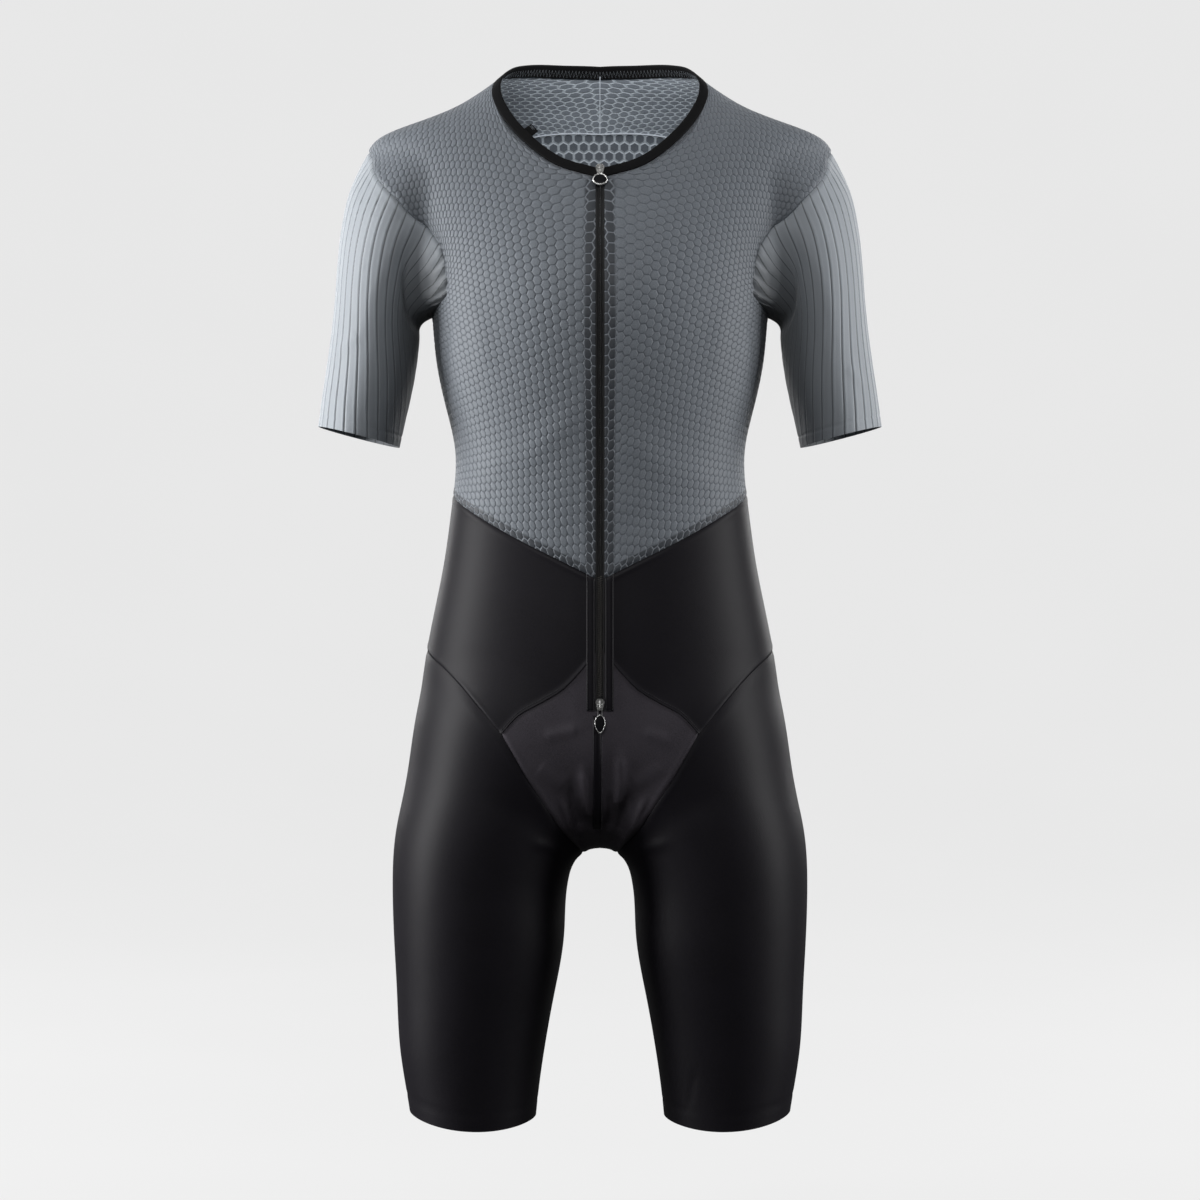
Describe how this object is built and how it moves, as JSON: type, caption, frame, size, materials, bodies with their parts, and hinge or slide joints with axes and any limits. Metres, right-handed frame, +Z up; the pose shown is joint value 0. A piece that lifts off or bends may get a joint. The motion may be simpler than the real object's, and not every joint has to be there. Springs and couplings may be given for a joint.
{
  "type": "cycling skinsuit",
  "caption": "Short-sleeved one-piece cycling suit in worn shape: grey relief mesh above, black stretch shorts below, full front zip, open neck, cuffs and hems.",
  "frame": {"origin": "inside the neck, level with the shoulders beside it, where the wearer's shoulders carry the suit", "axes": "+Z up, -Y the wearer's front, +X the wearer's left"},
  "size_m": [0.5274, 0.2427, 1.0012],
  "materials": {
    "grey_mesh": "relief knit mesh",
    "grey_knit": "ribbed stretch knit",
    "black_knit": "smooth stretch knit with a soft sheen",
    "black_tape": "matt tape",
    "slider_metal": "satin"
  },
  "bodies": {
    "root": {"front_panel_left": "grey_mesh", "front_panel_right": "grey_mesh", "back_panel": "grey_mesh", "sleeve_left": "grey_knit", "sleeve_right": "grey_knit", "neck_binding": "black_tape", "neck_tab": "black_tape", "waist_panel_left": "black_knit", "waist_panel_right": "black_knit", "crotch_panel_left": "black_knit", "crotch_panel_right": "black_knit", "seat_panel": "black_knit", "leg_panel_left": "black_knit", "leg_panel_right": "black_knit", "placket_left": "black_knit", "placket_right": "black_knit", "zip_tape_left": "black_tape", "zip_tape_right": "black_tape", "upper_slider": "slider_metal", "lower_slider": "slider_metal"},
    "upper_pull": {"upper_pull": "slider_metal"},
    "lower_pull": {"lower_pull": "slider_metal"}
  },
  "joints": [
    {"name": "upper_pull_hinge", "type": "hinge", "parent": "root", "child": "upper_pull", "pos_m": [0, -0.07891, -0.08486], "axis": [-1, 0, 0], "range_deg": [0, 150]},
    {"name": "lower_pull_hinge", "type": "hinge", "parent": "root", "child": "lower_pull", "pos_m": [0, -0.10686, -0.57411], "axis": [-1, 0, 0], "range_deg": [0, 150]}
  ]
}
